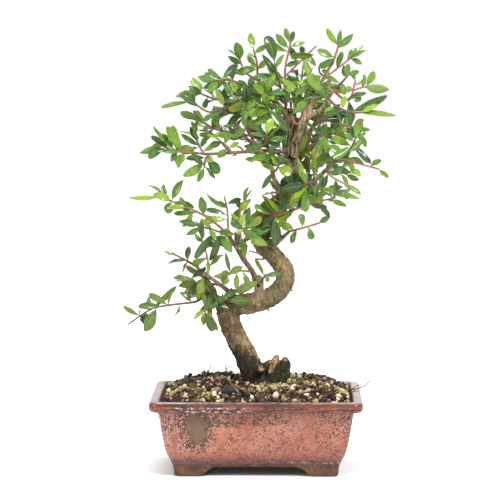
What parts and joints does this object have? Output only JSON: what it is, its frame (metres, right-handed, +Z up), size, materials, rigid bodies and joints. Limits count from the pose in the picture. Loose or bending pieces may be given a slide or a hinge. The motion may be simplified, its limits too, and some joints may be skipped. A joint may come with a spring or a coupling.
{
  "type": "pomegranate bonsai in a tray pot",
  "caption": "Dwarf pomegranate bonsai with a twice-bent trunk, thin arms and small glossy leaves, in a red glazed footed tray pot filled with granular soil.",
  "frame": {"origin": "on the ground under the middle of the pot, which is also the middle of the whole plant's outline from above", "axes": "+X to the right as seen from the front, +Y away from the viewer, +Z up"},
  "size_m": [0.258, 0.15, 0.4196],
  "materials": {
    "glaze": "mottled terracotta red glaze with brown speckles, bare brown clay feet",
    "soil": "loose moist grains of dark lava, pumice and baked clay",
    "screen": "black moulded mesh",
    "bark": "tan and olive mottled bark, dark and mossy at the foot",
    "leaf": "glossy green leaf with a pale midrib, on a reddish young twig"
  },
  "bodies": {
    "root": {"drain_screen_left": "screen", "drain_screen_right": "screen", "pot": "glaze", "soil": "soil", "spray_back_crown": "leaf", "spray_back_left": "leaf", "spray_back_left_high": "leaf", "spray_back_low_end": "leaf", "spray_back_low_hang": "leaf", "spray_back_mid_end": "leaf", "spray_back_mid_low": "leaf", "spray_back_right_end": "leaf", "spray_back_right_low": "leaf", "spray_back_right_up": "leaf", "spray_back_top": "leaf", "spray_back_top_end": "leaf", "spray_back_trunk": "leaf", "spray_branch_end": "leaf", "spray_branch_low": "leaf", "spray_branch_up": "leaf", "spray_dark_fan": "leaf", "spray_elbow": "leaf", "spray_inner": "leaf", "spray_knee_left": "leaf", "spray_knee_right": "leaf", "spray_left_arm_end": "leaf", "spray_left_arm_in": "leaf", "spray_left_arm_low": "leaf", "spray_left_arm_up": "leaf", "spray_left_dark": "leaf", "spray_left_front": "leaf", "spray_left_high": "leaf", "spray_left_high_low": "leaf", "spray_left_high_mid": "leaf", "spray_left_spur": "leaf", "spray_low_left": "leaf", "spray_low_right_end": "leaf", "spray_low_right_hang": "leaf", "spray_low_right_red": "leaf", "spray_mid_front": "leaf", "spray_mid_left": "leaf", "spray_mid_low": "leaf", "spray_mid_right": "leaf", "spray_mid_up": "leaf", "spray_mid_up_left": "leaf", "spray_red_branch": "leaf", "spray_right_front": "leaf", "spray_right_high": "leaf", "spray_right_long": "leaf", "spray_right_mid": "leaf", "spray_right_red": "leaf", "spray_stem_low": "leaf", "spray_stub_top": "leaf", "spray_top_end": "leaf", "spray_top_left": "leaf", "spray_top_mid": "leaf", "spray_top_pink": "leaf", "spray_top_red": "leaf", "spray_top_right": "leaf", "trunk": "bark"}
  },
  "joints": []
}
